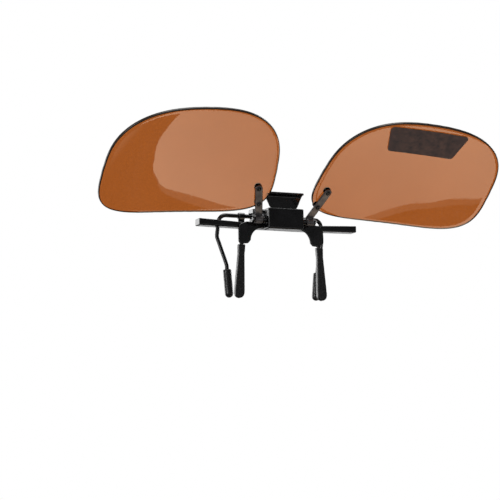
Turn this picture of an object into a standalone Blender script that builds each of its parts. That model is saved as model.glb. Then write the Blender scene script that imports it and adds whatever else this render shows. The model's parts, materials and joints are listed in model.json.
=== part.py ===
"""Flip-up clip-on sunglasses, lenses raised, clamp held open as on a spectacle frame.

Frame: +X right, +Y towards the wearer, +Z up, metres. The origin is the centre of the
grip, midway between the front pads and the rear sleeves. Lengths below are millimetres
and are turned into metres by the helpers.
"""
from math import copysign, cos, pi, radians, sin

import bmesh
import bpy
from mathutils import Matrix, Vector

MM = 0.001

# Driving dimensions, millimetres and degrees.
GRIP = 4.4                    # opening between front pads and rear sleeves at rest
PAD_THICK = 1.85
YOKE_THICK = 0.9
YOKE_Y = -GRIP / 2 - PAD_THICK / 2    # mid-plane of the yoke and of the front pads
BAR_LENGTH = 55.6
BAR_FRONT, BAR_BACK = -2.3, 1.9
SCREW_X, SCREW_Z = 3.6, 17.9

HOUSING_HALF = 6.2
HOUSING_FRONT, HOUSING_BACK = -8.4, -2.1
HOUSING_LOW, HOUSING_HIGH = 16.3, 23.1
WALL = 1.2                    # housing side wall
FRONT_WALL = 0.7
PIVOT = (-3.9, 21.0)          # y, z of the clamp lever's pin
PIN_R = 0.55
LUG_R = 1.3

FLIP = (-6.3, 19.2)           # y, z of the flip axle
FLIP_UP = -129.0              # turn from lenses hanging down to lenses raised
AXLE_R = 0.6
AXLE_HALF = 10.75
CAM_R = 1.0

LENS_X, LENS_DROP, LENS_FORWARD = 37.57, 21.5, 1.5
LENS_WRAP = 5.5               # turn of each lens round the face, degrees
LENS_R = 260.0                # radius of the lens dish
LENS_THICK = 1.0
LENS_RIM = 33.0               # radius of the blank that the lens is cut from
LENS_HALF = 29.4              # half the width, from the lens centre
LENS_TOP, LENS_BOTTOM = 20.6, 22.3    # heights above and below it when hanging
LENS_LEAN = 0.15              # how much the inner side leans out as it rises
FULL_TOP, FULL_BOTTOM = 4.0, 2.6      # squareness of the upper and lower corners
LENS_STEPS = 20               # points on each quarter of the outline
RIVETS = [(-25.5, -9.7), (-27.2, -15.8)]     # bracket screws, from the lens centre
FILM_LONG, FILM_SHORT = 13.7, 11.2    # half the film's lower and upper side
FILM_LOW, FILM_HIGH = 20.0, 9.7       # how far they hang below the lens centre
FILM_THICK = 0.12

BRACKET_X = 9.0               # middle of the curl round the axle
BRACKET_WIDTH = 2.5
BRACKET_THICK = 0.6
CURL_R = 1.35

TAB_BACK, TAB_THICK = -5.75, 0.7
RIVET_X, RIVET_Z = 3.6, 22.4    # rivets that hold the tab to the lever

WIRE_R = 0.72
WIRE_Y, WIRE_Z = 5.4, 21.9    # the run of the rear wires through the lever
SLEEVE_R = 1.4
SLEEVE_TOP = Vector((16.1, GRIP / 2 + SLEEVE_R + 0.14, 3.8))
SLEEVE_TIP = Vector((15.45, GRIP / 2 + SLEEVE_R, -4.1))
FIT = 0.15                    # gap between a pin and its hole
GAP = 0.3                     # gap between pieces that rest on each other

# ---------------------------------------------------------------- scene and materials

for old in list(bpy.data.objects):
    bpy.data.objects.remove(old, do_unlink=True)

PARTS = bpy.data.collections.new("clip_on_sunglasses")
CUTTERS = bpy.data.collections.new("cutters")
for collection in (PARTS, CUTTERS):
    bpy.context.scene.collection.children.link(collection)


def material(name, color, roughness, metallic=0.0, alpha=1.0):
    """A Principled material of one colour."""
    mat = bpy.data.materials.new(name)
    mat.use_nodes = True
    shader = mat.node_tree.nodes["Principled BSDF"]
    shader.inputs["Base Color"].default_value = (*color, 1)
    shader.inputs["Roughness"].default_value = roughness
    shader.inputs["Metallic"].default_value = metallic
    shader.inputs["Alpha"].default_value = alpha
    return mat


BLACK_METAL = material("black_metal", (0.02, 0.02, 0.022), 0.35, 0.6)
GREY_METAL = material("grey_metal", (0.10, 0.09, 0.09), 0.45, 0.8)
STEEL = material("steel", (0.55, 0.55, 0.56), 0.25, 1.0)
BLACK_PLASTIC = material("black_plastic", (0.015, 0.015, 0.017), 0.4)
BLACK_RUBBER = material("black_rubber", (0.02, 0.02, 0.02), 0.7)
BROWN_LENS = material("brown_lens", (0.45, 0.2, 0.08), 0.05, 0.0, 0.6)
DARK_FILM = material("dark_film", (0.04, 0.03, 0.028), 0.3, 0.0, 0.9)


def hinge(name, y, z):
    """An empty on a joint's axis, which runs along X."""
    empty = bpy.data.objects.new(name, None)
    empty.location = Vector((0, y, z)) * MM
    PARTS.objects.link(empty)
    return empty


FLIP_AXIS = hinge("flip_axis", *FLIP)
FLIP_AXIS.rotation_euler.x = radians(FLIP_UP)
LEVER_AXIS = hinge("lever_axis", *PIVOT)

# ---------------------------------------------------------------- helpers


def add(name, data, mat=None, parent=None, matrix=None):
    """Link a new object, a part when it has a material and a cutter when it has none."""
    obj = bpy.data.objects.new(name, data)
    if matrix is not None:
        obj.matrix_world = matrix
    if mat is None:
        CUTTERS.objects.link(obj)
        obj.hide_render = True
        obj.display_type = "WIRE"
    else:
        PARTS.objects.link(obj)
        obj.data.materials.append(mat)
    if parent is FLIP_AXIS:       # modelled in the axle's own frame, lenses hanging
        obj.parent = parent
    elif parent is not None:      # modelled in place
        obj.parent = parent
        obj.matrix_parent_inverse = Matrix.Translation(-parent.location)
    return obj


def mesh_from(bm, name):
    """Finish a bmesh as mesh data, smooth where its faces meet gently."""
    data = bpy.data.meshes.new(name)
    bm.to_mesh(data)
    bm.free()
    data.shade_smooth()
    data.set_sharp_from_angle(angle=radians(35))
    return data


def block(name, low, high, mat=None, parent=None):
    """A box between two corners."""
    low, high = Vector(low) * MM, Vector(high) * MM
    bm = bmesh.new()
    size = Matrix.Diagonal((*(high - low), 1))
    bmesh.ops.create_cube(bm, size=1, matrix=Matrix.Translation((low + high) / 2) @ size)
    return add(name, mesh_from(bm, name), mat, parent)


def rod(name, radius, start, end, mat=None, parent=None, sides=20):
    """A cylinder between two points."""
    start, end = Vector(start) * MM, Vector(end) * MM
    axis = end - start
    turn = axis.to_track_quat("Z", "Y").to_matrix().to_4x4()
    bm = bmesh.new()
    bmesh.ops.create_cone(bm, cap_ends=True, segments=sides, radius1=radius * MM,
                          radius2=radius * MM, depth=axis.length,
                          matrix=Matrix.Translation((start + end) / 2) @ turn)
    return add(name, mesh_from(bm, name), mat, parent)


def turned(name, profile, origin, axis, mat=None, parent=None, sides=20):
    """A turned piece: (radius, height) runs down the outer side, top to bottom."""
    data = bpy.data.meshes.new(name)
    points = [(r * MM, 0, h * MM) for r, h in profile]
    data.from_pydata(points, [(i, i + 1) for i in range(len(points) - 1)], [])
    turn = Vector(axis).to_track_quat("Z", "Y").to_matrix().to_4x4()
    obj = add(name, data, mat, parent, Matrix.Translation(Vector(origin) * MM) @ turn)
    screw = obj.modifiers.new("turn", "SCREW")
    screw.axis = "Z"
    screw.steps = sides
    screw.render_steps = sides
    screw.use_merge_vertices = True
    screw.merge_threshold = 0.00001
    screw.use_smooth_shade = True
    return obj


def ring(name, outer, inner, start, end, mat=None, parent=None, sides=20):
    """A washer or tube between two points."""
    start, end = Vector(start), Vector(end)
    height = (end - start).length
    profile = [(inner, height), (outer, height), (outer, 0), (inner, 0), (inner, height)]
    return turned(name, profile, start, end - start, mat, parent, sides)


def as_mesh(curve_object):
    """Turn a capped curve into a welded mesh, so that it can be cut or joined."""
    bpy.context.view_layer.update()
    graph = bpy.context.evaluated_depsgraph_get()
    data = bpy.data.meshes.new_from_object(curve_object.evaluated_get(graph))
    bm = bmesh.new()
    bm.from_mesh(data)
    bmesh.ops.remove_doubles(bm, verts=bm.verts, dist=0.000002)
    bmesh.ops.recalc_face_normals(bm, faces=bm.faces)
    bpy.data.meshes.remove(data)
    matrix = curve_object.matrix_world.copy()
    name = curve_object.name
    bpy.data.objects.remove(curve_object, do_unlink=True)
    return mesh_from(bm, name), matrix


def outline_curve(points, thick):
    """A filled flat outline in its own XY plane."""
    data = bpy.data.curves.new("outline", "CURVE")
    data.dimensions = "2D"
    data.fill_mode = "BOTH"
    data.extrude = thick / 2 * MM
    spline = data.splines.new("POLY")
    spline.points.add(len(points) - 1)
    for knot, (x, y) in zip(spline.points, points):
        knot.co = (x * MM, y * MM, 0, 1)
    spline.use_cyclic_u = True
    return data


def plate(name, points, thick, matrix, mat=None, parent=None):
    """A flat outline of the given thickness, centred on the matrix's XY plane."""
    scratch = bpy.data.objects.new(name, outline_curve(points, thick))
    CUTTERS.objects.link(scratch)
    data, _ = as_mesh(scratch)
    return add(name, data, mat, parent, matrix)


def facing(y):
    """Plane of a front view: outline x stays X, outline y becomes Z, at depth y."""
    return Matrix.Translation((0, y * MM, 0)) @ Matrix.Rotation(pi / 2, 4, "X")


def side_on(x):
    """Plane of a side view: outline x becomes Y, outline y becomes Z, at distance x."""
    turn = Matrix(((0, 0, 1, 0), (1, 0, 0, 0), (0, 1, 0, 0), (0, 0, 0, 1)))
    return Matrix.Translation((x * MM, 0, 0)) @ turn


def tube(name, points, radius, mat=None, parent=None):
    """A round wire through the points, with flat ends."""
    data = bpy.data.curves.new(name, "CURVE")
    data.dimensions = "3D"
    data.bevel_depth = radius * MM
    data.bevel_resolution = 2
    data.use_fill_caps = True
    spline = data.splines.new("POLY")
    spline.points.add(len(points) - 1)
    for knot, point in zip(spline.points, points):
        knot.co = (*(Vector(point) * MM), 1)
    return add(name, data, mat, parent)


def rounded(points, radius, steps=4):
    """A polyline with each inner corner replaced by an arc of the given radius."""
    points = [Vector(p) for p in points]
    path = [points[0]]
    for before, corner, after in zip(points, points[1:], points[2:]):
        back = (before - corner).normalized()
        ahead = (after - corner).normalized()
        half = back.angle(ahead) / 2
        reach = radius / abs(sin(half) / cos(half))
        centre = corner + (back + ahead).normalized() * (radius / sin(half))
        start = corner + back * reach - centre
        end = corner + ahead * reach - centre
        sweep = start.angle(end)
        for i in range(steps + 1):
            t = i / steps
            weights = sin((1 - t) * sweep), sin(t * sweep)
            path.append(centre + (start * weights[0] + end * weights[1]) / sin(sweep))
    path.append(points[-1])
    return path


def boolean(obj, other, operation):
    """Cut, join or intersect obj with other, which becomes a hidden guide."""
    step = obj.modifiers.new(operation.lower(), "BOOLEAN")
    step.operation = operation
    step.object = other
    return obj


def cut(obj, *others):
    for other in others:
        boolean(obj, other, "DIFFERENCE")
    return obj


def join(obj, *others):
    for other in others:
        boolean(obj, other, "UNION")
    return obj


def soften(obj, width, segments=2, angle=40):
    """Round the edges sharper than the angle."""
    step = obj.modifiers.new("bevel", "BEVEL")
    step.width = width * MM
    step.segments = segments
    step.limit_method = "ANGLE"
    step.angle_limit = radians(angle)
    return obj


def across(half, y, z):
    """The two ends of a line along X."""
    return (-half, y, z), (half, y, z)


def sides():
    """Name and sign of the left and right copies of a piece."""
    return (("left", -1), ("right", 1))


# ---------------------------------------------------------------- fixed clip body


def hinge_housing():
    """Moulded box, open above and behind, that holds both hinge pins."""
    inner = HOUSING_HALF - WALL
    wall_inside = HOUSING_FRONT + FRONT_WALL
    beyond = 2.0
    body = block("hinge_housing", (-HOUSING_HALF, HOUSING_FRONT, HOUSING_LOW),
                 (HOUSING_HALF, HOUSING_BACK, HOUSING_HIGH), BLACK_PLASTIC)
    soften(body, 0.3)
    floor, shelf, boss_front = 17.1, 18.9, -5.5
    notch = (-HOUSING_HALF - beyond, YOKE_Y - YOKE_THICK / 2 - GAP, HOUSING_LOW - beyond)
    cut(body,
        block("bar_notch", notch, (HOUSING_HALF + beyond, 0, 19.7)),
        block("axle_room", (-inner, wall_inside, floor), (inner, boss_front, 24)),
        block("lever_room", (-inner, boss_front - 0.1, shelf), (inner, 0, 24)),
        block("spring_room", (-2.3, boss_front - 0.1, floor), (2.3, 0, shelf + 0.1)),
        rod("axle_bore", AXLE_R + FIT, *across(beyond + HOUSING_HALF, *FLIP)),
        rod("pin_bore", PIN_R + FIT, *across(beyond + HOUSING_HALF, *PIVOT)))
    for side, sign in sides():
        x = sign * SCREW_X
        cut(body, rod(f"housing_screw_hole_{side}", 0.55, (x, -5.3, SCREW_Z),
                      (x, 0, SCREW_Z), sides=12))


def leg_x(z):
    """Middle of a front leg at a height: the legs splay slightly."""
    return 13.7 + (11.3 - z) * 0.052


def front_yoke():
    """Stamped steel plate: a strip behind the housing, an arch and two leg cores."""
    core, tip, shoulder = 0.6, -4.2, 11.6
    arch_x, arch_z, arch_wide, arch_high = 6.2, 12.8, 4.3, 4.2
    half = [(12.0, 18.9), (14.4, 17.9), (14.8, 16.4), (14.75, 12.4)]
    half += [(leg_x(shoulder) + core, shoulder), (leg_x(tip) + core, tip)]
    half += [(leg_x(tip), tip - 0.4), (leg_x(tip) - core, tip)]
    half += [(leg_x(shoulder) - core, shoulder), (11.4, 11.7)]
    steps = 7
    for i in range(steps + 1):
        t = pi / 2 * i / steps
        half.append((arch_x + arch_wide * cos(t), arch_z + arch_high * sin(t)))
    points = half + [(-x, z) for x, z in reversed(half)]
    yoke = plate("front_yoke", points, YOKE_THICK, facing(YOKE_Y), BLACK_METAL)
    for side, sign in sides():
        x = sign * SCREW_X
        cut(yoke, rod(f"yoke_screw_hole_{side}", 0.55, (x, -5, SCREW_Z),
                      (x, 0, SCREW_Z), sides=12))


def front_pads():
    """Rubber-dipped paddles over the leg cores, flat towards the spectacle frame."""
    top, foot, tip_r = 11.3, -4.6, 1.65
    for side, sign in sides():
        outer = [(leg_x(top) + 1.2, top), (leg_x(8) + 1.05, 8), (leg_x(-3.5) + tip_r, -3.5)]
        inner = [(leg_x(-3.5) - tip_r, -3.5), (leg_x(8) - 1.05, 8), (leg_x(top) - 1.2, top)]
        steps = 6
        centre = leg_x(foot)
        tip = [(centre + tip_r * cos(pi * i / steps), foot - tip_r * sin(pi * i / steps))
               for i in range(steps + 1)]
        shape = [(sign * x, z) for x, z in outer + tip + inner]
        pad = plate(f"front_pad_{side}", shape, PAD_THICK, facing(YOKE_Y), BLACK_RUBBER)
        soften(pad, 0.3)
        half, depth = 0.75, -4.9
        room = [(leg_x(12) - half, 12), (leg_x(12) + half, 12),
                (leg_x(depth) + half, depth), (leg_x(depth) - half, depth)]
        room = [(sign * x, z) for x, z in room]
        cut(pad, plate(f"pad_pocket_{side}", room, YOKE_THICK + 2 * FIT, facing(YOKE_Y)))


def cross_bar():
    """Flat bar that lies along the top of the spectacle frame, bowed up to its ends."""
    half, bend = BAR_LENGTH / 2, 12.0
    upper = [(half, 19.4), (bend, 18.75), (-bend, 18.75), (-half, 19.4)]
    lower = [(-half, 17.2), (-bend, 16.95), (bend, 16.95), (half, 17.2)]
    middle = (BAR_FRONT + BAR_BACK) / 2
    bar = plate("cross_bar", upper + lower, BAR_BACK - BAR_FRONT, facing(middle),
                BLACK_PLASTIC)
    soften(bar, 0.3)
    for side, sign in sides():
        x = sign * SCREW_X
        cut(bar, rod(f"bar_screw_hole_{side}", 0.55, (x, -4, SCREW_Z), (x, 3, SCREW_Z),
                     sides=12))


def bar_screws():
    """Two screws from behind the bar, through the yoke, into the housing."""
    head, shank, reach = 0.85, 0.4, 6.6
    profile = [(0, 0.6), (0.5, 0.55), (head, 0.25), (head, 0), (shank, 0),
               (shank, -reach), (0, -reach)]
    back = BAR_BACK + 0.15
    for side, sign in sides():
        x = sign * SCREW_X
        screw = turned(f"bar_screw_{side}", profile, (x, back, SCREW_Z), (0, 1, 0), STEEL,
                       sides=16)
        slot = block(f"bar_screw_slot_{side}", (x - 1, back + 0.4, SCREW_Z - 0.12),
                     (x + 1, back + 1, SCREW_Z + 0.12))
        cut(screw, slot)


def pivot_pin():
    """Pin of the clamp lever, with a domed head outside each housing wall."""
    shank_end, head = HOUSING_HALF + 0.2, 0.9
    tip = shank_end + 0.45
    profile = [(0, tip), (0.6, tip - 0.1), (head, tip - 0.35), (head, shank_end),
               (PIN_R, shank_end), (PIN_R, -shank_end), (head, -shank_end),
               (head, 0.35 - tip), (0.6, 0.1 - tip), (0, -tip)]
    turned("pivot_pin", profile, (0, *PIVOT), (1, 0, 0), STEEL)


def torsion_spring():
    """Closing spring round the pivot pin: one leg on the bar, one under the lever."""
    y, z = PIVOT
    coil_r, half, turns, steps = 0.87, 2.0, 5, 12
    rear_leg = [(-half, -0.9, 19.15), (-half, -1.8, 19.6)]
    coil = []
    for i in range(turns * steps + 1):
        t = 2 * pi * i / steps + 1.5 * pi
        x = -half + 2 * half * i / (turns * steps)
        coil.append((x, y + coil_r * cos(t), z + coil_r * sin(t)))
    coil.reverse()
    coil = [(-x, a, b) for x, a, b in coil]
    front_leg = [(half, -4.9, 20.2), (half, -5.2, 20.5), (half, -5.3, 21.05)]
    tube("torsion_spring", rear_leg + coil + front_leg, 0.15, STEEL)


def detent_leaf():
    """Leaf spring in the housing floor that presses on the axle's cam."""
    crest, width = -6.3, 3.6
    upper = [(-4.5, 17.55), (-5.3, 17.6), (crest + 0.3, 18.0), (crest - 0.3, 18.0),
             (-7.3, 17.6)]
    lower = [(y, z - 0.2) for y, z in reversed(upper)]
    plate("detent_leaf", upper + lower, width, side_on(0), STEEL)


# ---------------------------------------------------------------- clamp lever


def lever_body():
    """Lever: two lugs on the pin, a plate over the bar and a block for the wires."""
    arm_half, plate_half, block_half = 4.7, 8.9, 7.0
    lever = block("lever_body", (-plate_half, -1.4, 21.7), (plate_half, 2.8, 23.5),
                  BLACK_METAL, LEVER_AXIS)
    join(lever,
         block("lever_arm", (-arm_half, -5.6, 21.4), (arm_half, -1.0, 23.2),
               parent=LEVER_AXIS),
         block("wire_block", (-block_half, 2.6, 20.5), (block_half, 6.9, 23.5),
               parent=LEVER_AXIS))
    soften(lever, 0.2, 1)
    join(lever, rod("lever_lugs", LUG_R, *across(arm_half, *PIVOT), parent=LEVER_AXIS))
    cut(lever,
        rod("lever_bore", PIN_R + FIT, *across(6, *PIVOT), parent=LEVER_AXIS),
        rod("coil_room", LUG_R + 0.05, *across(2.95, *PIVOT), parent=LEVER_AXIS, sides=24))
    for side, sign in sides():
        x = sign * RIVET_X
        cut(lever,
            rod(f"wire_socket_{side}", WIRE_R + FIT, (sign * 2.2, WIRE_Y, WIRE_Z),
                (sign * 8, WIRE_Y, WIRE_Z), parent=LEVER_AXIS),
            rod(f"rivet_hole_{side}", 0.5, (x, -8, RIVET_Z), (x, -4.7, RIVET_Z),
                parent=LEVER_AXIS, sides=12))


def thumb_tab():
    """Sheet tab that widens upwards and curls forward into a lip."""
    foot, straight_top, bend_r, lean = 21.5, 26.9, 1.6, 0.09
    centre = TAB_BACK - bend_r
    inner_r = bend_r - TAB_THICK
    lip = 0.6
    steps = 5
    angles = [pi / 2 * i / steps for i in range(steps + 1)]
    outside = [(centre + bend_r * cos(t), straight_top + bend_r * sin(t)) for t in angles]
    inside = [(centre + inner_r * cos(t), straight_top + inner_r * sin(t)) for t in angles]
    edge = [(centre - lip, straight_top + bend_r), (centre - lip, straight_top + inner_r)]
    profile = [(TAB_BACK, foot)] + outside + edge + inside[::-1]
    profile.append((TAB_BACK - TAB_THICK, foot))
    profile = [(y + lean * (z - foot), z) for y, z in profile]
    tab = plate("thumb_tab", profile, 16, side_on(0), BLACK_METAL, LEVER_AXIS)
    half = [(4.6, foot - 1), (4.6, 23.6), (4.95, 24.0), (6.75, 28.0), (6.3, 29.5)]
    front = half + [(-x, z) for x, z in reversed(half)]
    boolean(tab, plate("tab_outline", front, 8, facing(TAB_BACK), parent=LEVER_AXIS),
            "INTERSECT")
    for side, sign in sides():
        x = sign * RIVET_X
        cut(tab, rod(f"tab_hole_{side}", 0.5, (x, -8, RIVET_Z), (x, -5, RIVET_Z),
                     parent=LEVER_AXIS, sides=12))
        head = TAB_BACK - TAB_THICK - FIT
        profile = [(0, 0.3), (0.45, 0.25), (0.75, 0), (0.35, 0), (0.35, -1.9), (0, -1.9)]
        turned(f"tab_rivet_{side}", profile, (x, head, RIVET_Z), (0, -1, 0), STEEL,
               LEVER_AXIS, sides=16)


def rear_wires():
    """Bent wires from the lever down to the rear sleeves."""
    along = (SLEEVE_TOP - SLEEVE_TIP).normalized()
    knee = SLEEVE_TOP + along * 1.5
    foot = SLEEVE_TIP + along * 1.2
    route = [(2.6, WIRE_Y, WIRE_Z), (18.2, WIRE_Y, WIRE_Z), (18.8, 6.0, 14.8), knee, foot]
    path = rounded(route, 2.4)
    for side, sign in sides():
        points = [(sign * p.x, p.y, p.z) for p in path]
        tube(f"rear_wire_{side}", points, WIRE_R, BLACK_METAL, LEVER_AXIS)


def rear_sleeves():
    """Round-ended rubber sleeves on the wires."""
    length = (SLEEVE_TOP - SLEEVE_TIP).length
    inner = WIRE_R + FIT
    steps = 5
    tip = [(SLEEVE_R * cos(pi / 2 * i / steps), -SLEEVE_R * sin(pi / 2 * i / steps))
           for i in range(steps)]
    profile = [(0, length), (SLEEVE_R - 0.25, length), (SLEEVE_R, length - 0.3)]
    profile += tip + [(0, -SLEEVE_R)]
    for side, sign in sides():
        top = Vector((sign * SLEEVE_TOP.x, *SLEEVE_TOP.yz))
        end = Vector((sign * SLEEVE_TIP.x, *SLEEVE_TIP.yz))
        sleeve = turned(f"rear_sleeve_{side}", profile, end, top - end, BLACK_RUBBER,
                        LEVER_AXIS)
        along = (top - end).normalized()
        cut(sleeve, rod(f"sleeve_bore_{side}", inner, end + along * 0.9, top + along,
                        parent=LEVER_AXIS))


def wire_crimps():
    """Sheet crimps under the wires, just outside the lever's wire block."""
    outer, thick, tail = 1.1, 0.5, 18.9
    for side, sign in sides():
        near, far = sign * 9.3, sign * 11.5
        crimp = rod(f"wire_crimp_{side}", outer, (near, WIRE_Y, WIRE_Z),
                    (far, WIRE_Y, WIRE_Z), BLACK_METAL, LEVER_AXIS)
        low = (min(near, far), WIRE_Y - thick / 2, tail)
        high = (max(near, far), WIRE_Y + thick / 2, WIRE_Z - 0.9)
        join(crimp, block(f"crimp_tail_{side}", low, high, parent=LEVER_AXIS))
        cut(crimp, rod(f"crimp_bore_{side}", WIRE_R + FIT, (near - sign, WIRE_Y, WIRE_Z),
                       (far + sign, WIRE_Y, WIRE_Z), parent=LEVER_AXIS))


# ---------------------------------------------------------------- flip-up lens carrier
# Modelled in the axle's frame with the lenses hanging down.


def flip_axle():
    rod("flip_axle", AXLE_R, *across(AXLE_HALF, 0, 0), STEEL, FLIP_AXIS)
    ring("detent_cam", CAM_R, AXLE_R + FIT, *across(1.5, 0, 0), STEEL, FLIP_AXIS, sides=8)
    for side, sign in sides():
        ring(f"axle_spacer_{side}", 1.2, AXLE_R + FIT, (sign * (HOUSING_HALF + 0.25), 0, 0),
             (sign * (BRACKET_X - BRACKET_WIDTH / 2 - 0.2), 0, 0), BLACK_METAL, FLIP_AXIS)
        bore = AXLE_R + FIT
        profile = [(0, 0.8), (0.7, 0.7), (1.05, 0.4), (1.1, 0), (bore, 0), (bore, 0.45),
                   (0, 0.45)]
        turned(f"axle_cap_{side}", profile, (sign * 10.45, 0, 0), (sign, 0, 0),
               BLACK_METAL, FLIP_AXIS)


def lens_frame(sign):
    """Frame of a lens: X outward, Y down, Z away from the wearer, at its centre."""
    wrap = radians(LENS_WRAP)
    outward = Vector((sign * cos(wrap), sin(wrap), 0))
    ahead = Vector((sign * sin(wrap), -cos(wrap), 0))
    down = Vector((0, 0, -1))
    centre = Vector((sign * LENS_X, -LENS_FORWARD, -LENS_DROP)) * MM
    frame = Matrix((outward, down, ahead)).transposed().to_4x4()
    frame.translation = centre
    return frame


def dish_depth(u, v):
    """How far the dish falls behind its centre at a point of the lens."""
    return LENS_R - (LENS_R ** 2 - u ** 2 - v ** 2) ** 0.5


def on_lens(sign, u, v, lift=0.0):
    """Point and forward normal of the lens mid-surface, lifted along the normal."""
    frame = lens_frame(sign)
    local = Vector((u, v, -dish_depth(u, v)))
    normal = (local - Vector((0, 0, -LENS_R))).normalized()
    place = frame @ ((local + normal * lift) * MM)
    return place / MM, frame.to_3x3() @ normal


def dish(name, sign, low, high, mat, rings=7, sides=40):
    """A round dished blank between two heights over the lens mid-surface."""
    reach = LENS_RIM / LENS_R
    outer, inner = [], []
    for i in range(rings + 1):
        t = reach * i / rings
        outer.append(((LENS_R + high) * sin(t), (LENS_R + high) * cos(t) - LENS_R))
        inner.append(((LENS_R + low) * sin(t), (LENS_R + low) * cos(t) - LENS_R))
    frame = lens_frame(sign)
    ahead = frame.to_3x3() @ Vector((0, 0, 1))
    return turned(name, outer + inner[::-1], frame.translation / MM, ahead, mat,
                  FLIP_AXIS, sides)


def lens_outline():
    """Superellipse, squarer above, whose inner side leans outwards as it rises."""
    points = []
    for i in range(4 * LENS_STEPS):
        turn = pi / 2 * i / LENS_STEPS
        u, v = cos(turn), sin(turn)
        above = v < 0
        power = 2 / (FULL_TOP if above else FULL_BOTTOM)
        height = LENS_TOP if above else LENS_BOTTOM
        down = copysign(abs(v) ** power, v) * height
        reach = LENS_HALF - (LENS_LEAN * down if u < 0 else 0)
        points.append((copysign(abs(u) ** power, u) * reach, down))
    return points


def lenses():
    """Dished lenses cut to outline, drilled for the bracket screws."""
    for side, sign in sides():
        lens = dish(f"lens_{side}", sign, -LENS_THICK / 2, LENS_THICK / 2, BROWN_LENS)
        shape = plate(f"lens_outline_{side}", lens_outline(), 20, lens_frame(sign),
                      parent=FLIP_AXIS)
        boolean(lens, shape, "INTERSECT")
        for i, (u, v) in enumerate(RIVETS):
            start, _ = on_lens(sign, u, v, -3)
            end, _ = on_lens(sign, u, v, 3)
            cut(lens, rod(f"lens_hole_{side}_{i}", 0.6, start, end, parent=FLIP_AXIS,
                          sides=12))


def film_sticker():
    """Dark film on the eye side of the right lens."""
    low = -LENS_THICK / 2 - FIT - FILM_THICK
    film = dish("film_sticker", 1, low, low + FILM_THICK, DARK_FILM, 5, 36)
    corners = [Vector((-FILM_LONG, FILM_LOW, 0)), Vector((FILM_LONG, FILM_LOW, 0)),
               Vector((FILM_SHORT, FILM_HIGH, 0)), Vector((-FILM_SHORT, FILM_HIGH, 0))]
    seam = (corners[0] + corners[-1]) / 2
    corners = rounded([seam] + corners + [seam], 1.2, 3)
    shape = plate("film_outline", [(p.x, p.y) for p in corners[:-1]], 20, lens_frame(1),
                  parent=FLIP_AXIS)
    boolean(film, shape, "INTERSECT")


def brackets():
    """Strips on the back of the lenses, curled round the axle, and their screws."""
    strip_lift = -(LENS_THICK / 2 + FIT + BRACKET_THICK / 2)
    half = BRACKET_WIDTH / 2
    for side, sign in sides():
        far, normal_far = on_lens(sign, *RIVETS[0], strip_lift)
        near, normal_near = on_lens(sign, *RIVETS[1], strip_lift)
        along = (near - far).normalized()
        normal = (normal_far + normal_near).normalized()
        normal = (normal - along * normal.dot(along)).normalized()
        width = along.cross(normal)
        turn = Matrix((width, along, normal)).transposed().to_4x4()
        frame = Matrix.Translation(far * MM) @ turn
        length = (far - Vector((sign * BRACKET_X, 0, 0))).length
        steps = 8
        end = [(half * cos(pi + pi * i / steps), half * sin(pi + pi * i / steps))
               for i in range(steps + 1)]
        strip = plate(f"lens_bracket_{side}", end + [(half, length), (-half, length)],
                      BRACKET_THICK, frame, GREY_METAL, FLIP_AXIS)
        curl = (sign * (BRACKET_X - half), 0, 0), (sign * (BRACKET_X + half), 0, 0)
        join(strip, rod(f"curl_{side}", CURL_R, *curl, parent=FLIP_AXIS, sides=24))
        bore = (sign * 6, 0, 0), (sign * 12, 0, 0)
        cut(strip, rod(f"curl_bore_{side}", AXLE_R + FIT, *bore, parent=FLIP_AXIS))
        for i, (u, v) in enumerate(RIVETS):
            lens_screw(f"{side}_{i + 1}", sign, u, v, strip)


def lens_screw(name, sign, u, v, strip):
    """Screw from behind the strip and its domed nut in front of the lens."""
    back, ahead = on_lens(sign, u, v, -(LENS_THICK / 2 + BRACKET_THICK + 2 * FIT))
    shank, head, reach = 0.4, 0.8, 2.45
    profile = [(0, 0.35), (0.5, 0.33), (head, 0.12), (head, 0), (shank, 0),
               (shank, -reach), (0, -reach)]
    screw = turned(f"lens_screw_{name}", profile, back, -ahead, BLACK_METAL, FLIP_AXIS,
                   sides=16)
    cut(screw, rod(f"screw_socket_{name}", 0.35, back - ahead * 0.15, back - ahead,
                   parent=FLIP_AXIS, sides=6))
    cut(strip, rod(f"strip_hole_{name}", 0.55, back - ahead, back + ahead * 1.1,
                   parent=FLIP_AXIS, sides=12))
    front, _ = on_lens(sign, u, v, LENS_THICK / 2 + FIT)
    nut = [(0, 0.95), (0.6, 0.85), (1.1, 0.5), (1.3, 0.1), (1.3, 0), (0, 0)]
    dome = turned(f"lens_nut_{name}", nut, front, ahead, BLACK_METAL, FLIP_AXIS, sides=16)
    cut(dome, rod(f"nut_bore_{name}", shank + FIT, front - ahead, front + ahead * 0.65,
                  parent=FLIP_AXIS, sides=12))


hinge_housing()
front_yoke()
front_pads()
cross_bar()
bar_screws()
pivot_pin()
torsion_spring()
detent_leaf()
lever_body()
thumb_tab()
rear_wires()
rear_sleeves()
wire_crimps()
flip_axle()
lenses()
film_sticker()
brackets()
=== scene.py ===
"""Looks of the flip-up clip-on sunglasses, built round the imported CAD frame.

The frame has +X right, +Y towards the wearer and +Z up, in metres. The mm() helper
turns millimetres into metres.
"""
import json
from collections import namedtuple
from math import cos, pi, radians, sin

import bmesh
import bpy
import numpy as np
from mathutils import Matrix, Vector


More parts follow.
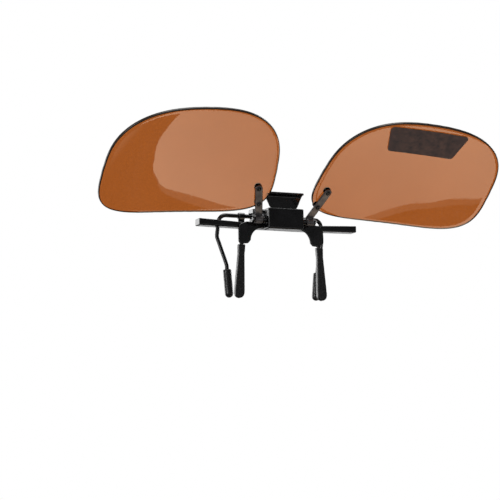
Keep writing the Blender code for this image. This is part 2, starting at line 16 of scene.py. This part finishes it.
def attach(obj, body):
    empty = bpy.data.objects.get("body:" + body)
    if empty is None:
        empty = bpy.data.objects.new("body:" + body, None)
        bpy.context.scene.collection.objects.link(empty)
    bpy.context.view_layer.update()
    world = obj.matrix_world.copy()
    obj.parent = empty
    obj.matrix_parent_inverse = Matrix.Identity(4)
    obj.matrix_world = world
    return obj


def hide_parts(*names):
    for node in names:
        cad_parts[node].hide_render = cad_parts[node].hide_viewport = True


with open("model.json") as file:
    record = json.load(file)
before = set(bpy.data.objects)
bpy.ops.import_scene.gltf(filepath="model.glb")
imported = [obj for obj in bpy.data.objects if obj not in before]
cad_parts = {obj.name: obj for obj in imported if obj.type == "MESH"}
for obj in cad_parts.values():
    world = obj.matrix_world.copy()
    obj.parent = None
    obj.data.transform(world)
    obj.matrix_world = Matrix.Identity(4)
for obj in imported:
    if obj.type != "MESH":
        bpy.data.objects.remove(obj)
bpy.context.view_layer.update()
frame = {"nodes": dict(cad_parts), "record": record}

# Camera: where it stands round the hinge, and the point that it looks at.
AZIMUTH, ELEVATION, ROLL = -22.6, -7.5, -0.3
ORBIT = Vector((0.0, -0.0031, 0.010))
DISTANCE = 0.563
AIM = Vector((-0.0092, 0.0007, 0.0101))
FOCAL = 124.1
NEAR, FAR = 0.05, 20           # what the camera can see, metres

FLOOR_Z = -0.13
FLOOR_HALF = 3.0
REFLECTED_WORLD = 0.12         # brightness of the surroundings in reflections
DIFFUSE_WORLD = 1.0            # and as soft fill light
SIDES = "left", "right"


def mm(*values):
    """Millimetres to metres, as a vector for three values."""
    return Vector(values) / 1000 if len(values) == 3 else values[0] / 1000


# ---------------------------------------------------------------- node materials
# Texture sizes and bump depths are metres, and colours are linear.


class Shader:
    """A node material under construction: a Principled shader and its textures."""

    def __init__(self, name, **sockets):
        self.material = bpy.data.materials.new(name)
        self.material.use_nodes = True
        self.tree = self.material.node_tree
        self.principled = self.tree.nodes["Principled BSDF"]
        self.place = self.new("ShaderNodeTexCoord").outputs["Object"]
        for socket, value in sockets.items():
            self.set(socket.replace("_", " "), value)

    def new(self, kind, **settings):
        node = self.tree.nodes.new(kind)
        for key, value in settings.items():
            setattr(node, key, value)
        return node

    def link(self, output, target):
        self.tree.links.new(output, target)

    def set(self, socket, value):
        if isinstance(value, tuple):
            value = (*value, 1.0)
        self.principled.inputs[socket].default_value = value

    def noise(self, size, detail=3.0, rough=0.55, stretch=(1, 1, 1)):
        """Noise whose features are about size metres across."""
        mapping = self.new("ShaderNodeMapping")
        mapping.inputs["Scale"].default_value = stretch
        self.link(self.place, mapping.inputs["Vector"])
        noise = self.new("ShaderNodeTexNoise")
        noise.inputs["Scale"].default_value = 1 / size
        noise.inputs["Detail"].default_value = detail
        noise.inputs["Roughness"].default_value = rough
        self.link(mapping.outputs["Vector"], noise.inputs["Vector"])
        return noise.outputs["Fac"]

    def grains(self, size):
        """Rounded cells about size metres across."""
        cells = self.new("ShaderNodeTexVoronoi", feature="SMOOTH_F1")
        cells.inputs["Scale"].default_value = 1 / size
        self.link(self.place, cells.inputs["Vector"])
        return cells.outputs["Distance"]

    def between(self, factor, low, high, start=0.3, end=0.7):
        """A number that runs from low to high as the factor does from start to end."""
        node = self.new("ShaderNodeMapRange")
        for socket, value in zip(("From Min", "From Max", "To Min", "To Max"),
                                 (start, end, low, high)):
            node.inputs[socket].default_value = value
        self.link(factor, node.inputs["Value"])
        return node.outputs["Result"]

    def colours(self, factor, first, second, start=0.35, end=0.65):
        """Base colour that varies between two colours."""
        ramp = self.new("ShaderNodeValToRGB")
        for stop, place, colour in zip(ramp.color_ramp.elements, (start, end),
                                       (first, second)):
            stop.position = place
            stop.color = (*colour, 1)
        self.link(factor, ramp.inputs["Fac"])
        self.link(ramp.outputs["Color"], self.principled.inputs["Base Color"])

    def roughness(self, factor, low, high, start=0.3, end=0.7):
        self.link(self.between(factor, low, high, start, end),
                  self.principled.inputs["Roughness"])

    def bumps(self, *layers):
        """Stack of (height factor, depth in metres) layers as bump."""
        previous = None
        for height, depth in layers:
            bump = self.new("ShaderNodeBump")
            bump.inputs["Distance"].default_value = depth
            self.link(height, bump.inputs["Height"])
            if previous:
                self.link(previous, bump.inputs["Normal"])
            previous = bump.outputs["Normal"]
        self.link(previous, self.principled.inputs["Normal"])


def tinted_plastic():
    """Polarised brown lens: clear, slightly uneven in tint, with faint wiping haze."""
    made = Shader("brown_lens", Transmission_Weight=1.0, IOR=1.53)
    made.colours(made.noise(0.03, 2), (0.345, 0.090, 0.015), (0.370, 0.099, 0.018))
    made.roughness(made.noise(0.008, 4, 0.6, (1, 3, 3)), 0.0, 0.02)
    return made.material


def lens_edge():
    """Cut rim of the lens: frosted and almost black where the tint is seen edge on."""
    made = Shader("lens_edge", IOR=1.5, Specular_IOR_Level=0.3)
    made.colours(made.noise(0.004, 3), (0.005, 0.003, 0.002), (0.018, 0.010, 0.006))
    made.roughness(made.noise(0.0006, 3), 0.2, 0.45)
    made.bumps((made.noise(0.0003, 3, stretch=(1, 1, 4)), 0.00001))
    return made.material


def moulded_plastic():
    """Black moulded plastic with a fine spark-eroded texture and rubbed patches."""
    made = Shader("black_plastic", IOR=1.48)
    made.colours(made.noise(0.006, 4), (0.0010, 0.0010, 0.0012), (0.0032, 0.0032, 0.0036))
    made.roughness(made.noise(0.002, 4), 0.10, 0.24)
    made.bumps((made.noise(0.0015, 2), 0.00002), (made.grains(0.00012), 0.000004))
    return made.material


def dipped_rubber():
    """Matt black rubber with a coarse grain and paler dust in it."""
    made = Shader("black_rubber", IOR=1.47)
    made.colours(made.noise(0.0004, 4, 0.7), (0.0015, 0.0015, 0.0016), (0.009, 0.009, 0.0095))
    made.roughness(made.noise(0.0007, 3), 0.20, 0.40)
    made.bumps((made.noise(0.002, 2), 0.00005), (made.grains(0.00036), 0.00004))
    return made.material


def lacquered_metal():
    """Semi-gloss black lacquer with orange peel and thin spots."""
    made = Shader("black_metal", IOR=1.5, Coat_Weight=0.3, Coat_Roughness=0.08)
    made.colours(made.noise(0.004, 4), (0.0010, 0.0010, 0.0012), (0.0036, 0.0036, 0.0040))
    made.roughness(made.noise(0.0012, 4), 0.06, 0.18)
    made.bumps((made.noise(0.0009, 2), 0.000015))
    return made.material


def plated_strip():
    """Dark grey plating, satin from fine brushing, with handling marks."""
    made = Shader("bracket_metal", Metallic=0.75)
    made.colours(made.noise(0.003, 4), (0.070, 0.064, 0.065), (0.13, 0.12, 0.12))
    made.roughness(made.noise(0.0010, 4, 0.6, (6, 1, 1)), 0.26, 0.44)
    made.bumps((made.noise(0.0004, 3, 0.6, (8, 1, 1)), 0.000006))
    return made.material


def dark_steel():
    """Blackened steel for pins, springs and rivets, rubbed paler in places."""
    made = Shader("steel", Metallic=1.0)
    made.colours(made.noise(0.002, 4), (0.035, 0.035, 0.037), (0.14, 0.14, 0.145))
    made.roughness(made.noise(0.0008, 4, 0.6, (1, 1, 5)), 0.20, 0.38)
    made.bumps((made.noise(0.0003, 3, 0.6, (1, 1, 8)), 0.000004))
    return made.material


def adhesive_film():
    """Thin near-black film, slightly mottled brown."""
    made = Shader("dark_film", IOR=1.4, Specular_IOR_Level=0.25)
    made.colours(made.noise(0.0022, 5, 0.65), (0.030, 0.021, 0.020), (0.062, 0.034, 0.027))
    made.roughness(made.noise(0.001, 3), 0.45, 0.65)
    made.bumps((made.noise(0.004, 2), 0.00003))
    return made.material


MATERIALS = {
    "brown_lens": tinted_plastic(),
    "black_plastic": moulded_plastic(),
    "black_rubber": dipped_rubber(),
    "black_metal": lacquered_metal(),
    "bracket_metal": plated_strip(),
    "steel": dark_steel(),
    "dark_film": adhesive_film(),
}
LENS_EDGE = lens_edge()
SLOT = {row["node"]: row["material_slot"] for row in frame["record"]["subparts"]}
BODY = {node: body for body, nodes in frame["record"]["behaviour"]["bodies"].items()
        for node in nodes}

for node_name, node_object in frame["nodes"].items():
    for material_slot in node_object.material_slots:
        material_slot.material = MATERIALS[SLOT[node_name]]

# ---------------------------------------------------------------- pieces

WELD = 0.000001               # vertices closer than this are one, metres
SHARP = 35                    # edges turning by more degrees than this stay crisp


def finish_piece(obj, node):
    """The piece stands for its CAD node, which is hidden, and rides on its body."""
    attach(obj, BODY[node])
    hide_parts(node)


def mesh_object(name, bm, *materials, sharp=SHARP):
    """Link a bmesh as an object with smooth shading below the sharp angle."""
    data = bpy.data.meshes.new(name)
    bm.to_mesh(data)
    bm.free()
    data.shade_smooth()
    data.set_sharp_from_angle(angle=radians(sharp))
    for mat in materials:
        data.materials.append(mat)
    obj = bpy.data.objects.new(name, data)
    bpy.context.scene.collection.objects.link(obj)
    return obj


def welded(node):
    """A CAD node's mesh with its split vertices joined again."""
    bm = bmesh.new()
    bm.from_mesh(frame["nodes"][node].data)
    bmesh.ops.remove_doubles(bm, verts=bm.verts, dist=WELD)
    bmesh.ops.recalc_face_normals(bm, faces=bm.faces)
    return bm


def sphere_through(points):
    """Centre and radius of the sphere that fits the points best."""
    table = np.column_stack((2 * points, np.ones(len(points))))
    *centre, rest = np.linalg.lstsq(table, (points ** 2).sum(1), rcond=None)[0]
    centre = np.array(centre)
    return centre, (rest + centre @ centre) ** 0.5


def places(bm, faces):
    """Places of the faces' vertices, in the order that the mesh keeps them."""
    used = {v for f in faces for v in f.verts}
    return np.array([v.co for v in bm.verts if v in used])


def rim_loop(bm, faces):
    """Points of the longest open edge round a set of faces."""
    inside = set(faces)
    edges = {e for e in bm.edges if sum(f in inside for f in e.link_faces) == 1}
    loops = []
    for start in bm.edges:
        if start not in edges:
            continue
        edges.discard(start)
        loop, vert = [start.verts[0]], start.verts[1]
        while vert is not loop[0]:
            loop.append(vert)
            onward = next(e for e in vert.link_edges if e in edges)
            edges.discard(onward)
            vert = onward.other_vert(vert)
        loops.append(loop)
    longest = max(loops, key=len)
    return np.array([v.co for v in longest])


FACING = 0.8                  # least agreement of a dished face's normal with the axis


def dished_faces(node):
    """Centre, front radius, back radius and front outline of a CAD lens."""
    bm = welded(node)
    points = np.array([v.co for v in bm.verts])
    axis = Vector(np.linalg.eigh(np.cov(points.T))[1][:, 0])
    if axis.z < 0:
        axis.negate()
    front_faces = [f for f in bm.faces if f.normal.dot(axis) > FACING]
    back_faces = [f for f in bm.faces if f.normal.dot(axis) < -FACING]
    centre, front_r = sphere_through(places(bm, front_faces))
    back_r = np.linalg.norm(places(bm, back_faces) - centre, axis=1).mean()
    outline = rim_loop(bm, front_faces)
    bm.free()
    return centre, front_r, back_r, outline


RIM_POINTS = 288              # points round the lens
RIM_WAVES = 60                # finest ripple kept in its outline
RIM_RADIUS = mm(0.3)          # rounding of the cut rim
RIM_STEPS = 4                 # facets in each rounding
RIM_INSET = mm(0.03)          # keeps the rounded rim inside the CAD lens
FACE_RINGS = 0.25, 0.5, 0.7, 0.85, 0.94    # rings on each face, shares of the way out
LENS_SHARP = 60


def smooth_outline(flat):
    """Angles and reaches of an outline at even steps, with its small corners melted."""
    angles = np.unwrap(np.arctan2(flat[:, 1], flat[:, 0]))
    reach = np.hypot(flat[:, 0], flat[:, 1])
    if angles[-1] < angles[0]:
        angles, reach = angles[::-1], reach[::-1]
    turn = angles[0] + np.arange(RIM_POINTS) * 2 * pi / RIM_POINTS
    reach = np.interp(turn, np.append(angles, angles[0] + 2 * pi),
                      np.append(reach, reach[0]))
    spectrum = np.fft.rfft(reach)
    spectrum[RIM_WAVES:] = 0
    return turn, np.fft.irfft(spectrum, RIM_POINTS)


def lens_section(half):
    """Rings from the front's middle to the back's: share of the reach, inset, height."""
    front = [(share, 0, half) for share in FACE_RINGS]
    for i in range(RIM_STEPS + 1):
        t = pi / 2 * i / RIM_STEPS
        front.append((1, RIM_RADIUS * (1 - sin(t)), half - RIM_RADIUS + RIM_RADIUS * cos(t)))
    return front + [(share, inset, -height) for share, inset, height in front[::-1]]


def lens(side):
    """Polished lens: both dished faces as true spheres, inside a rounded cut rim."""
    node = f"lens_{side}"
    centre, front_r, back_r, outline = dished_faces(node)
    half, mid_r = (front_r - back_r) / 2, (front_r + back_r) / 2

    ahead = (Vector(outline.mean(0)) - Vector(centre)).normalized()
    across = Vector((1, 0, 0))
    across = (across - ahead * across.dot(ahead)).normalized()
    up = ahead.cross(across)
    flat = np.column_stack([(outline - centre) @ np.array(v) for v in (across, up)])
    turn, reach = smooth_outline(flat)
    reach = reach * mid_r / front_r - RIM_INSET
    shape = bmesh.new()

    def point(k, share, inset, height):
        u = (reach[k] * share - inset) * cos(turn[k])
        v = (reach[k] * share - inset) * sin(turn[k])
        w = (mid_r ** 2 - u * u - v * v) ** 0.5
        direction = (across * u + up * v + ahead * w) / mid_r
        return Vector(centre) + direction * (mid_r + height)

    loops = []
    for share, inset, height in lens_section(half):
        loops.append([shape.verts.new(point(k, share, inset, height))
                      for k in range(RIM_POINTS)])
    for upper, lower in zip(loops, loops[1:]):
        for k in range(RIM_POINTS):
            after = (k + 1) % RIM_POINTS
            shape.faces.new((upper[k], lower[k], lower[after], upper[after]))
    for loop, height in ((loops[0], half), (loops[-1], -half)):
        hub = shape.verts.new(Vector(centre) + ahead * (mid_r + height))
        for k in range(RIM_POINTS):
            shape.faces.new((hub, loop[k], loop[(k + 1) % RIM_POINTS]))
    bmesh.ops.recalc_face_normals(shape, faces=shape.faces)
    first_rim = len(FACE_RINGS)
    for loop in loops[first_rim + 1:first_rim + 2 * RIM_STEPS + 1]:
        for vert in loop:
            for face in vert.link_faces:
                face.material_index = 1
    obj = mesh_object(f"tinted_lens_{side}", shape, MATERIALS["brown_lens"], LENS_EDGE,
                      sharp=LENS_SHARP)
    finish_piece(obj, node)


# Skin cell of each class of piece, and the share of the way to its neighbours' average
# that each smoothing pass moves a vertex.
LARGE, MIDDLE, SMALL, TINY = mm(0.22), mm(0.16), mm(0.11), mm(0.08)
SMOOTHING = 0.5


def softened(name, node, voxel, passes):
    """A CAD piece with facets and corners melted into the small radii of the real one."""
    obj = mesh_object(name, welded(node), MATERIALS[SLOT[node]])
    remesh = obj.modifiers.new("skin", "REMESH")
    remesh.mode = "VOXEL"
    remesh.voxel_size = voxel
    remesh.use_smooth_shade = True
    smooth = obj.modifiers.new("radii", "SMOOTH")
    smooth.factor = SMOOTHING
    smooth.iterations = passes
    graph = bpy.context.evaluated_depsgraph_get()
    data = bpy.data.meshes.new_from_object(obj.evaluated_get(graph))
    obj.modifiers.clear()
    obj.data = data
    finish_piece(obj, node)


for side_name in SIDES:
    lens(side_name)
    softened(f"nose_pad_{side_name}", f"front_pad_{side_name}", LARGE, 5)
    softened(f"clamp_sleeve_{side_name}", f"rear_sleeve_{side_name}", MIDDLE, 6)
    softened(f"clamp_wire_{side_name}", f"rear_wire_{side_name}", MIDDLE, 4)
    softened(f"wire_joint_{side_name}", f"wire_crimp_{side_name}", SMALL, 3)
    softened(f"lens_strip_{side_name}", f"lens_bracket_{side_name}", SMALL, 3)
    softened(f"end_cap_{side_name}", f"axle_cap_{side_name}", SMALL, 2)
    softened(f"spacer_{side_name}", f"axle_spacer_{side_name}", SMALL, 2)
    softened(f"bar_fixing_{side_name}", f"bar_screw_{side_name}", SMALL, 3)
    softened(f"rivet_{side_name}", f"tab_rivet_{side_name}", SMALL, 2)
    for row in (1, 2):
        softened(f"screw_{side_name}_{row}", f"lens_screw_{side_name}_{row}", TINY, 3)
        softened(f"nut_{side_name}_{row}", f"lens_nut_{side_name}_{row}", TINY, 3)
softened("hinge_block", "hinge_housing", LARGE, 3)
softened("yoke", "front_yoke", LARGE, 4)
softened("bar", "cross_bar", LARGE, 2)
softened("lever", "lever_body", MIDDLE, 4)
softened("flip_tab", "thumb_tab", MIDDLE, 3)
softened("lever_spring", "torsion_spring", TINY, 3)

# ---------------------------------------------------------------- stage, lights, camera

# Softboxes round the hinge: place, width, height in metres, and power.
SOFTBOXES = {
    "key": ((-0.9, -0.35, 0.35), 0.22, 0.9, 5),
    "side": ((-0.5, 0.9, 0.12), 0.7, 0.6, 4.5),
    "fill": ((0.9, 0.5, 0.3), 0.3, 0.9, 5),
    "top": ((0.1, -0.1, 0.9), 0.9, 0.35, 6),
}


def studio():
    """Pale floor, white surroundings and softboxes."""
    scene = bpy.context.scene
    scene.view_settings.view_transform = "Standard"

    bm = bmesh.new()
    bmesh.ops.create_grid(bm, x_segments=1, y_segments=1, size=FLOOR_HALF)
    floor = mesh_object("floor", bm, floor_material())
    floor.location.z = FLOOR_Z

    world = bpy.data.worlds.new("surroundings")
    scene.world = world
    world.use_nodes = True
    tree = world.node_tree
    tree.nodes.clear()
    path = tree.nodes.new("ShaderNodeLightPath")
    strength = REFLECTED_WORLD
    for ray, level in (("Is Camera Ray", 1.0), ("Is Transmission Ray", 1.0),
                       ("Is Diffuse Ray", DIFFUSE_WORLD)):
        pick = tree.nodes.new("ShaderNodeMix")
        pick.data_type = "FLOAT"
        tree.links.new(path.outputs[ray], pick.inputs["Factor"])
        if isinstance(strength, float):
            pick.inputs["A"].default_value = strength
        else:
            tree.links.new(strength, pick.inputs["A"])
        pick.inputs["B"].default_value = level
        strength = pick.outputs["Result"]
    sky = tree.nodes.new("ShaderNodeBackground")
    sky.inputs["Color"].default_value = (1, 1, 1, 1)
    tree.links.new(strength, sky.inputs["Strength"])
    output = tree.nodes.new("ShaderNodeOutputWorld")
    tree.links.new(sky.outputs[0], output.inputs["Surface"])

    for name, (place, width, height, power) in SOFTBOXES.items():
        softbox(name, place, width, height, power)


def floor_material():
    """Smooth pale board."""
    made = Shader("floor_board", Specular_IOR_Level=0.2)
    made.colours(made.noise(0.3, 2), (0.62, 0.62, 0.62), (0.66, 0.66, 0.66))
    made.roughness(made.noise(0.05, 3), 0.7, 0.8)
    return made.material


def softbox(name, place, width, height, power):
    """A rectangular lamp facing the hinge, not seen directly or through the lenses."""
    lamp = bpy.data.lights.new(name, "AREA")
    lamp.shape = "RECTANGLE"
    lamp.size, lamp.size_y = width, height
    lamp.energy = power
    obj = bpy.data.objects.new(name, lamp)
    obj.location = place
    obj.rotation_euler = (ORBIT - obj.location).to_track_quat("-Z", "Y").to_euler()
    obj.visible_camera = False
    obj.visible_transmission = False
    bpy.context.scene.collection.objects.link(obj)


# Cards below the lenses, which show only as the milky reflection in them. Their outlines
# are millimetres seen from above, shaped so that the reflection ends where it does on the
# real lenses.
CARD_Z = -120                 # height of the cards
CARD_STEPS = 24               # straight stretches of a curved edge
LAYER = 1                     # height between a card and the next
FLAG_DROP = 4                 # height between the cards and the black flag
FLAG_HALF = 0.6               # half the side of the flag, metres
CARD_COLOUR = (1.0, 0.81, 0.60)

# How a card's light grows along a direction: from low at the start to high at the end.
Glow = namedtuple("Glow", "direction start end low high")
SIDEWAYS = (1, 0, 0)


def glowing_card(name, outline, glow, height=CARD_Z):
    """Lit card seen only as its milky reflection."""
    bm = bmesh.new()
    bm.faces.new([bm.verts.new(mm(x, y, height)) for x, y in outline])
    made = Shader(name)
    made.set("Base Color", (0, 0, 0))
    made.set("Emission Color", CARD_COLOUR)
    along = made.new("ShaderNodeVectorMath", operation="DOT_PRODUCT")
    made.link(made.place, along.inputs[0])
    along.inputs[1].default_value = glow.direction
    strength = made.between(along.outputs["Value"], glow.low, glow.high,
                            mm(glow.start), mm(glow.end))
    made.link(strength, made.principled.inputs["Emission Strength"])
    reflected_only(mesh_object(name, bm, made.material))


def reflected_only(card):
    """A card that only reflections show."""
    card.visible_camera = False
    card.visible_diffuse = False
    card.visible_transmission = False
    card.visible_shadow = False


def dark_flag():
    """Black cloth under the cards, so that the pale floor isn't mirrored in the lenses."""
    bm = bmesh.new()
    bmesh.ops.create_grid(bm, x_segments=1, y_segments=1, size=FLAG_HALF)
    flag = mesh_object("dark_flag", bm, MATERIALS["black_rubber"])
    flag.location.z = mm(CARD_Z - FLAG_DROP)
    reflected_only(flag)


NOSE = Vector((37.3, -11.3))  # tip of the left card's rounded end
NOSE_REACH, NOSE_FAR = 16, 66           # its spread either side of the tip, and far side
NOSE_BACK_SAG = 0.105                   # how fast the end falls away behind the tip
NOSE_FRONT_SAG, NOSE_FRONT_POWER = 0.205, 1.4       # and in front of it
LEFT_GLOW = Glow(SIDEWAYS, 38, 56, 2.9, 2.0)
LEFT_FRINGE_GLOW = Glow(SIDEWAYS, 38, 56, 0.5, 0.5)
LEFT_FRINGE = Vector((-0.3, -1.1))      # how far the faint fringe shows past the card
HAZE = (28, -6), (52, 3), (52, 16), (28, 16)
HAZE_GLOW = Glow((-0.37, 1, 0), -15, -10, 0, 1.6)


def left_card():
    """Card whose rounded nose is mirrored as the end of the left lens's milky area."""
    outline = []
    for i in range(CARD_STEPS + 1):
        rise = NOSE_REACH * (1 - 2 * i / CARD_STEPS)
        if rise > 0:
            sag = NOSE_BACK_SAG * rise ** 2
        else:
            sag = NOSE_FRONT_SAG * abs(rise) ** NOSE_FRONT_POWER
        outline.append((NOSE.x + sag, NOSE.y + rise))
    outline += [(NOSE_FAR, outline[-1][1]), (NOSE_FAR, outline[0][1])]
    glowing_card("left_card", outline, LEFT_GLOW)
    fringe = [(x + LEFT_FRINGE.x, y + LEFT_FRINGE.y) for x, y in outline]
    glowing_card("left_card_edge", fringe, LEFT_FRINGE_GLOW, CARD_Z - LAYER)
    glowing_card("left_haze", HAZE, HAZE_GLOW, CARD_Z + LAYER)


BEND = Vector((74, -24.2))    # where the right card's near edge starts
BEND_WIDTH, BEND_FAR = 34, 6            # its width, and where its far side lies
BEND_SLOPE, BEND_SAG = -0.33, -0.0165   # how the near edge leaves and curves away
RIGHT_GLOW = Glow(SIDEWAYS, 76, 94, 1.9, 2.8)
RIGHT_FRINGE_GLOW = Glow(SIDEWAYS, 76, 94, 0.8, 0.3)
RIGHT_FRINGE = 0.7                      # how far the faint fringe shows past the card


def right_card():
    """Card whose near edge is mirrored as a curve across the bottom of the right lens."""
    outline = []
    for i in range(CARD_STEPS + 1):
        along = BEND_WIDTH * i / CARD_STEPS
        sag = BEND_SLOPE * along + BEND_SAG * along ** 2
        outline.append((BEND.x + along, BEND.y + sag))
    outline += [(BEND.x + BEND_WIDTH, BEND_FAR), (BEND.x, BEND_FAR)]
    glowing_card("right_card", outline, RIGHT_GLOW)
    fringe = [(x, y - RIGHT_FRINGE) for x, y in outline]
    glowing_card("right_card_edge", fringe, RIGHT_FRINGE_GLOW, CARD_Z - LAYER)


def camera():
    """Camera at the photographed angle, a little below the lenses."""
    azimuth, elevation = radians(AZIMUTH), radians(ELEVATION)
    back = Vector((sin(azimuth) * cos(elevation), -cos(azimuth) * cos(elevation),
                   sin(elevation)))
    data = bpy.data.cameras.new("camera")
    data.lens = FOCAL
    data.clip_start, data.clip_end = NEAR, FAR
    obj = bpy.data.objects.new("camera", data)
    obj.location = ORBIT + back * DISTANCE
    look = (AIM - obj.location).to_track_quat("-Z", "Y").to_matrix()
    obj.rotation_euler = (look @ Matrix.Rotation(radians(ROLL), 3, "Z")).to_euler()
    bpy.context.scene.collection.objects.link(obj)
    bpy.context.scene.camera = obj


studio()
dark_flag()
left_card()
right_card()
camera()
